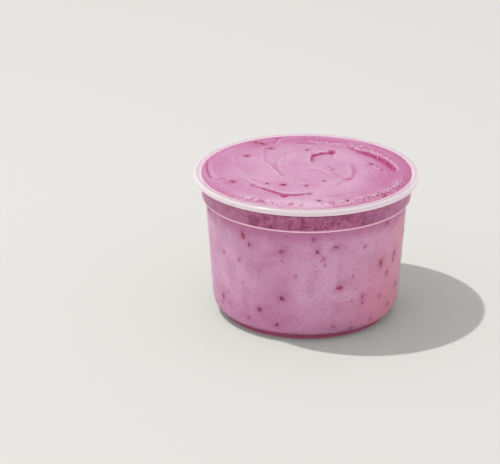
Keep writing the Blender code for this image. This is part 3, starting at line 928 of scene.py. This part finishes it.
SIDE_SKINS = [SideFleck(*row) for row in (
    (-39.3, 55.9, 4.6, 2.4, 100),
    (4.9, 51.3, 2.6, 1.6, 120),
    (47.8, 38.3, 5.0, 2.2, 105),
    (54.6, 30.9, 3.2, 1.2, 110),
    (62.1, 39.7, 3.0, 2.0, 70),
    (61.2, 36.2, 2.2, 1.4, 80),
    (-61.3, 15.6, 3.6, 1.9, 70),
    (18.7, 30.1, 3.2, 2.2, 10),
    (-29.8, 16.1, 3.2, 2.8, 40),
    (-18.7, 9.0, 2.6, 2.2, 30),
    (50.7, 59.8, 3.0, 1.2, 30),
    (-15.4, 24.5, 3.0, 2.2, 120),
    (-35.4, 51.7, 2.6, 1.2, 80),
)]

SIDE_SEEDS = [SideFleck(*row) for row in (
    (-15.2, 51.0, 3.4, 1.9, 15),
    (2.7, 58.4, 2.0, 1.5, 60),
    (15.5, 53.3, 3.0, 1.3, -20),
    (-56.9, 41.8, 1.6, 1.2, 90),
    (-43.3, 41.3, 1.4, 0.9, 40),
    (34.5, 22.6, 2.2, 1.2, 60),
    (34.7, 19.0, 1.6, 1.2, 20),
    (59.1, 11.6, 2.0, 1.4, 60),
    (-63.1, 11.5, 1.6, 1.2, 10),
    (-37.8, 9.9, 1.6, 1.2, 50),
    (8.6, 47.1, 1.4, 0.9, 10),
    (34.1, 50.9, 1.2, 0.9, 0),
    (42.3, 7.7, 1.8, 1.2, 30),
    (48.6, 19.4, 1.8, 1.0, 60),
    (15.6, 8.1, 2.2, 1.4, 0),
    (27.6, 5.6, 2.0, 1.2, 0),
)]

# A draw of like bits: its seed, how many there are, and the range of their lengths in millimetres.
Scatter = namedtuple("Scatter", "seed number smallest largest")
SIDE_SPECKS = Scatter(23, 560, 0.6, 1.6)
ICE_GRAINS = Scatter(17, 320, 0.5, 1.3)
HIDDEN_SIDE_SKINS = Scatter(37, 26, 1.8, 4.2)
HIDDEN_SIDE_SEEDS = Scatter(41, 22, 1.2, 2.6)
HIDDEN_SIDE_FIRST = 68

# The heights between which they are drawn, in millimetres, and how wide they are for their length.
DRAWN_HEIGHTS = (5.0, 60.5)
DRAWN_SLIMNESS = (0.45, 0.85)
ICE_SLIMNESS = (0.5, 0.9)

# What the unevenness of the other bits is drawn from, how strong it is and how close its lumps are.
SKIN_DRAW = 5
SEED_DRAW = 7
FLAKE_UNEVENNESS = 0.45
FLAKE_LUMPS = 2.4

# How far a bit stains the blend: a margin, and a share of its length.
STAIN_MARGIN = 0.6 * MM
STAIN_SHARE = 0.60

# An edge of the blend's side that is taller than this is cut into rows.
TALL_EDGE = 10.0 * MM

# How deep the wall of the blend stops below its surface, and how its creases and hollows are found: by
# averaging its heights over a short and a long way, with the depths that count as full.
RELIEF_DEPTH = 7.0 * MM
NEAR_PASSES = 18
FAR_PASSES = 190
CREASE_FULL = 0.26 * MM
HOLLOW_FULL = 0.70 * MM


def add_flake(shape, place, size, draw, detail=2):
    """A rounded, uneven flake. Its place is its middle, then the ways of its length, width and thickness."""
    middle, along, across, out = place
    made = bmesh.ops.create_icosphere(shape, subdivisions=detail, radius=0.5)
    offset = Vector((draw.uniform(0, 9), draw.uniform(0, 9), draw.uniform(0, 9)))
    for point in made["verts"]:
        uneven = 1.0 + FLAKE_UNEVENNESS * noise.noise(point.co * FLAKE_LUMPS + offset)
        x, y, z = (part * uneven * extent for part, extent in zip(point.co, size))
        point.co = middle + along * x + across * y + out * z


def add_flecks(shape, flecks, places, thickness, draw, detail=2):
    for fleck, place in zip(flecks, places):
        add_flake(shape, place, (fleck.length * MM, fleck.width * MM, thickness), draw, detail)


def top_places(flecks, lift=FLECK_LIFT):
    """Where each fleck on top lies: its middle and its three directions."""
    settings = bpy.context.scene
    reach = blend_mouth(settings.tub_sizes, settings.blend_sizes)
    x, y = (np.array([fleck[axis] for fleck in flecks]) * MM for axis in (0, 1))
    heights = surface_height(x, y, reach, settings.blend_sizes) + lift
    places = []
    for fleck, *middle in zip(flecks, x, y, heights):
        heading = math.radians(fleck.heading)
        along = Vector((math.cos(heading), math.sin(heading), 0.0))
        across = Vector((-along.y, along.x, 0.0))
        places.append((Vector(middle), along, across, Vector((0, 0, 1))))
    return places


def side_radius(height, tub, gap):
    """The radius of the blend's side at a height on the wall."""
    points = inner_wall(tub, gap)
    heights = [point[1] for point in points]
    radii = [point[0] for point in points]
    return float(np.interp(height, heights, radii))


def side_place(fleck):
    """Where a fleck behind the wall lies: its middle and its three directions."""
    settings = bpy.context.scene
    tub = settings.tub_sizes
    turned = math.radians(fleck.turn) - math.pi / 2
    height = fleck.height * MM
    radius = side_radius(height, tub, -settings.blend_sizes.wall_bite) - SIDE_SUNK
    lower = side_radius(height - MM, tub, 0.0)
    upper = side_radius(height + MM, tub, 0.0)
    out_level = Vector((math.cos(turned), math.sin(turned), 0.0))
    level = Vector((-out_level.y, out_level.x, 0.0))
    rising = (Vector((0, 0, 2 * MM)) + out_level * (upper - lower)).normalized()
    out = level.cross(rising).normalized()
    heading = math.radians(fleck.heading)
    along = level * math.cos(heading) + rising * math.sin(heading)
    return out_level * radius + Vector((0, 0, height)), along, out.cross(along), out


def drawn_side_flecks(scatter, first_turn, last_turn):
    """Flecks behind the wall between two angles from the front, drawn from a scatter's seed."""
    draw = random.Random(scatter.seed)
    flecks = []
    for _ in range(scatter.number):
        length_drawn = draw.uniform(scatter.smallest, scatter.largest)
        flecks.append(SideFleck(
            draw.uniform(first_turn, last_turn),
            draw.uniform(*DRAWN_HEIGHTS),
            length_drawn,
            length_drawn * draw.uniform(*DRAWN_SLIMNESS),
            draw.uniform(0, 180),
        ))
    return flecks


def side_skins():
    return (*SIDE_SKINS, *drawn_side_flecks(HIDDEN_SIDE_SKINS, HIDDEN_SIDE_FIRST, 360 - HIDDEN_SIDE_FIRST))


def side_seeds():
    return (*SIDE_SEEDS, *drawn_side_flecks(HIDDEN_SIDE_SEEDS, HIDDEN_SIDE_FIRST, 360 - HIDDEN_SIDE_FIRST))


# Operators

class BowlOperator(bpy.types.Operator):
    """What the operators below share."""

    bl_options = {"REGISTER", "UNDO"}


class BOWL_OT_tub(BowlOperator):
    """Make the clear tub"""

    bl_idname = "bowl.tub"
    bl_label = "Tub"

    def execute(self, context):
        sizes = context.scene.tub_sizes
        shape = turn(tub_outline(sizes), sizes.steps)
        add_piece("clear_tub", shape, plastic_finish(context.scene.bowl_colours, sizes), "tub")
        return {"FINISHED"}


class BOWL_OT_blend(BowlOperator):
    """Make the berry blend that fills the tub"""

    bl_idname = "bowl.blend"
    bl_label = "Blend"

    def execute(self, context):
        tub = context.scene.tub_sizes
        sizes = context.scene.blend_sizes
        reach = blend_mouth(tub, sizes)
        wall = inner_wall(tub, -sizes.wall_bite)
        wall.append((reach, sizes.level - RELIEF_DEPTH))
        shape = turn([(0.0, wall[0][1])] + wall, sizes.steps)
        tall = [edge for edge in shape.edges if abs(edge.verts[0].co.z - edge.verts[1].co.z) > TALL_EDGE]
        bmesh.ops.subdivide_edges(shape, edges=tall, cuts=sizes.wall_rows)
        wall_rim = [edge for edge in shape.edges if edge.is_boundary]
        top = bmesh.new()
        add_disc(top, sizes.rings, reach)
        x, y = (np.array([point.co[axis] for point in top.verts]) for axis in (0, 1))
        heights = surface_height(x, y, reach, sizes)
        rough = roughness(x, y)
        for point, height, lumpy in zip(top.verts, heights, rough):
            grain = noise.fractal(point.co / GRAIN_SIZE, 1.0, 2.0, 3) * sizes.grain
            lump = noise.fractal(point.co / LUMP_SIZE, 0.8, 2.0, 3) * sizes.lumps * lumpy
            swell = noise.noise(point.co / SWELL_SIZE) * sizes.swell
            point.co.z = height + grain + lump + swell
        top_mesh = bpy.data.meshes.new("blend_top")
        top.to_mesh(top_mesh)
        top.free()
        shape.from_mesh(top_mesh)
        bpy.data.meshes.remove(top_mesh)
        known = set(wall_rim)
        top_rim = [edge for edge in shape.edges if edge.is_boundary and edge not in known]
        bmesh.ops.bridge_loops(shape, edges=wall_rim + top_rim)
        bmesh.ops.recalc_face_normals(shape, faces=shape.faces)
        finish = blend_finish(context.scene.bowl_colours, tub)
        piece = add_piece("berry_blend", shape, finish, "acai", sharp=80)
        self.mark(piece.data, sizes)
        return {"FINISHED"}

    @staticmethod
    def mark(mesh, sizes):
        """Stores what the finish reads: the top, its creases, crests and hollows, which it paints with shade
        and light, rough ice and stains.
        """
        places = np.zeros(len(mesh.vertices) * 3)
        mesh.vertices.foreach_get("co", places)
        places = places.reshape(-1, 3)
        x, y, z = places.T
        top = z > sizes.level - RELIEF_DEPTH / 2
        edges = np.zeros(len(mesh.edges) * 2, dtype=np.int32)
        mesh.edges.foreach_get("vertices", edges)
        edges = edges.reshape(-1, 2)
        edges = edges[top[edges].all(axis=1)]
        near = evened(z, edges, NEAR_PASSES)
        far = evened(near, edges, FAR_PASSES)
        stain = np.zeros(len(z))
        stained = [(fleck, place[0]) for fleck, place in zip(TOP_SKINS, top_places(TOP_SKINS))]
        stained += [(fleck, side_place(fleck)[0]) for fleck in (*side_skins(), *side_seeds())]
        for fleck, middle in stained:
            distance = np.linalg.norm(places - np.array(middle), axis=1)
            reach = STAIN_MARGIN + STAIN_SHARE * fleck.length * MM
            stain = np.maximum(stain, np.exp(-((distance / reach) ** 2)))
        marks = {
            "top": top,
            "crease": np.clip((near - z) / CREASE_FULL, 0.0, 1.0) * top,
            "crest": np.clip((z - near) / CREASE_FULL, 0.0, 1.0) * top,
            "hollow": np.clip((far - near) / HOLLOW_FULL, 0.0, 1.0) * top,
            "rough": roughness(x, y) * top,
            "stain": stain,
        }
        for name, values in marks.items():
            mesh.attributes.new(name, "FLOAT", "POINT").data.foreach_set("value", values.astype(np.float32))


class BOWL_OT_skins(BowlOperator):
    """Make the bits of berry skin, on top and behind the wall"""

    bl_idname = "bowl.skins"
    bl_label = "Berry skins"

    def execute(self, context):
        shape = bmesh.new()
        draw = random.Random(SKIN_DRAW)
        add_flecks(shape, TOP_SKINS, top_places(TOP_SKINS), FLECK_THICKNESS, draw)
        add_flecks(shape, side_skins(), map(side_place, side_skins()), SIDE_THICKNESS, draw)
        add_piece("skin_flecks", shape, skin_finish(context.scene.bowl_colours))
        return {"FINISHED"}


class BOWL_OT_seeds(BowlOperator):
    """Make the bits of seed behind the wall, and the fine specks between them"""

    bl_idname = "bowl.seeds"
    bl_label = "Seeds"

    def execute(self, context):
        shape = bmesh.new()
        draw = random.Random(SEED_DRAW)
        add_flecks(shape, side_seeds(), map(side_place, side_seeds()), SIDE_THICKNESS, draw)
        specks = drawn_side_flecks(SIDE_SPECKS, 0, 360)
        add_flecks(shape, specks, map(side_place, specks), SPECK_THICKNESS, draw, detail=1)
        add_piece("seed_flecks", shape, seed_finish(context.scene.bowl_colours))
        return {"FINISHED"}


class BOWL_OT_ice(BowlOperator):
    """Make the grains of ice that sparkle in the rough patches"""

    bl_idname = "bowl.ice"
    bl_label = "Ice grains"

    def execute(self, context):
        shape = bmesh.new()
        draw = random.Random(ICE_GRAINS.seed)
        curves = [(patch, curve_through(patch.route)) for patch in ROUGH_PATCHES]
        areas = [patch.width * np.hypot(*np.diff(curve, axis=0).T).sum() for patch, curve in curves]
        grains = []
        for patch, curve in draw.choices(curves, weights=areas, k=ICE_GRAINS.number):
            middle = curve[draw.randrange(len(curve))]
            x, y = (part / MM + draw.gauss(0.0, patch.width / 2) for part in middle)
            across = draw.uniform(ICE_GRAINS.smallest, ICE_GRAINS.largest)
            grains.append(Fleck(x, y, across, across * draw.uniform(*ICE_SLIMNESS), draw.uniform(0, 180)))
        for grain, place in zip(grains, top_places(grains, ICE_LIFT)):
            add_flake(shape, place, (grain.length * MM, grain.width * MM, grain.width * MM), draw, detail=1)
        add_piece("ice_grains", shape, ice_finish(context.scene.bowl_colours))
        return {"FINISHED"}


class BOWL_OT_stage(BowlOperator):
    """Make the floor, the light and the camera"""

    bl_idname = "bowl.stage"
    bl_label = "Stage"

    def execute(self, context):
        self.add_floor(context)
        self.add_light(context)
        self.add_camera(context)
        context.scene.view_settings.view_transform = "Standard"
        return {"FINISHED"}

    @staticmethod
    def add_floor(context):
        shape = bmesh.new()
        bmesh.ops.create_grid(shape, x_segments=8, y_segments=8, size=FLOOR_REACH)
        bmesh.ops.translate(shape, verts=shape.verts, vec=(0, 0, -FLOOR_DROP))
        mesh = bpy.data.meshes.new("pale_floor")
        shape.to_mesh(mesh)
        shape.free()
        mesh.materials.append(table_finish(context.scene.bowl_colours))
        floor = bpy.data.objects.new("pale_floor", mesh)
        context.scene.collection.objects.link(floor)

    @staticmethod
    def add_light(context):
        stage = context.scene.stage_sizes
        lamp = bpy.data.lights.new("key_light", "POINT")
        lamp.energy = stage.lamp
        lamp.shadow_soft_size = stage.lamp_size
        lamp.use_nodes = True
        nodes = lamp.node_tree.nodes
        falloff = nodes.new("ShaderNodeLightFalloff")
        falloff.inputs["Strength"].default_value = 1.0
        lamp.node_tree.links.new(falloff.outputs["Constant"], nodes["Emission"].inputs["Strength"])
        key = bpy.data.objects.new("key_light", lamp)
        key.location = stage.lamp_place
        context.scene.collection.objects.link(key)
        world = bpy.data.worlds.new("soft_sky")
        world.use_nodes = True
        world.node_tree.nodes["Background"].inputs["Color"].default_value = (1.0, 1.0, 1.0, 1.0)
        world.node_tree.nodes["Background"].inputs["Strength"].default_value = stage.sky
        context.scene.world = world

    @staticmethod
    def add_camera(context):
        stage = context.scene.stage_sizes
        lens_data = bpy.data.cameras.new("camera")
        camera = bpy.data.objects.new("camera", lens_data)
        back = Vector((0.0, -math.cos(stage.elevation), math.sin(stage.elevation)))
        right = Vector((1.0, 0.0, 0.0))
        up = back.cross(right)
        left_of_axis = (AXIS_PIXEL_X - FRAME_WIDTH / 2) / stage.pixels_per_metre
        above_aim = (AXIS_PIXEL_Y - FRAME_HEIGHT / 2) / stage.pixels_per_metre
        aim = Vector((0.0, 0.0, stage.aim_height)) - right * left_of_axis + up * above_aim
        place = Matrix((right, up, back)).transposed().to_4x4()
        place.translation = aim + back * stage.distance
        camera.matrix_world = place
        lens_data.lens = lens_data.sensor_width * stage.pixels_per_metre * stage.distance / FRAME_WIDTH
        lens_data.clip_end = SIGHT
        context.scene.collection.objects.link(camera)
        context.scene.camera = camera


class BOWL_PT_panel(bpy.types.Panel):
    """The bowl's settings and pieces"""

    bl_idname = "BOWL_PT_panel"
    bl_label = "Acai bowl"
    bl_space_type = "VIEW_3D"
    bl_region_type = "UI"
    bl_category = "Acai bowl"

    def draw(self, context):
        for operator in OPERATORS:
            self.layout.operator(operator.bl_idname)
        for name in SETTINGS:
            group = getattr(context.scene, name)
            box = self.layout.box()
            for setting in group.__annotations__:
                box.prop(group, setting)


OPERATORS = (BOWL_OT_tub, BOWL_OT_blend, BOWL_OT_skins, BOWL_OT_seeds, BOWL_OT_ice, BOWL_OT_stage)
SETTINGS = {
    "tub_sizes": TubSizes,
    "blend_sizes": BlendSizes,
    "bowl_colours": Colours,
    "stage_sizes": StageSizes,
}


def register():
    for group in (*SETTINGS.values(), *OPERATORS, BOWL_PT_panel):
        bpy.utils.register_class(group)
    for name, group in SETTINGS.items():
        setattr(bpy.types.Scene, name, PointerProperty(type=group))


def unregister():
    for name in SETTINGS:
        delattr(bpy.types.Scene, name)
    for group in (BOWL_PT_panel, *reversed(OPERATORS), *SETTINGS.values()):
        bpy.utils.unregister_class(group)


def main():
    register()
    bpy.ops.bowl.tub()
    bpy.ops.bowl.blend()
    bpy.ops.bowl.skins()
    bpy.ops.bowl.seeds()
    bpy.ops.bowl.ice()
    bpy.ops.bowl.stage()


if __name__ == "__main__":
    main()
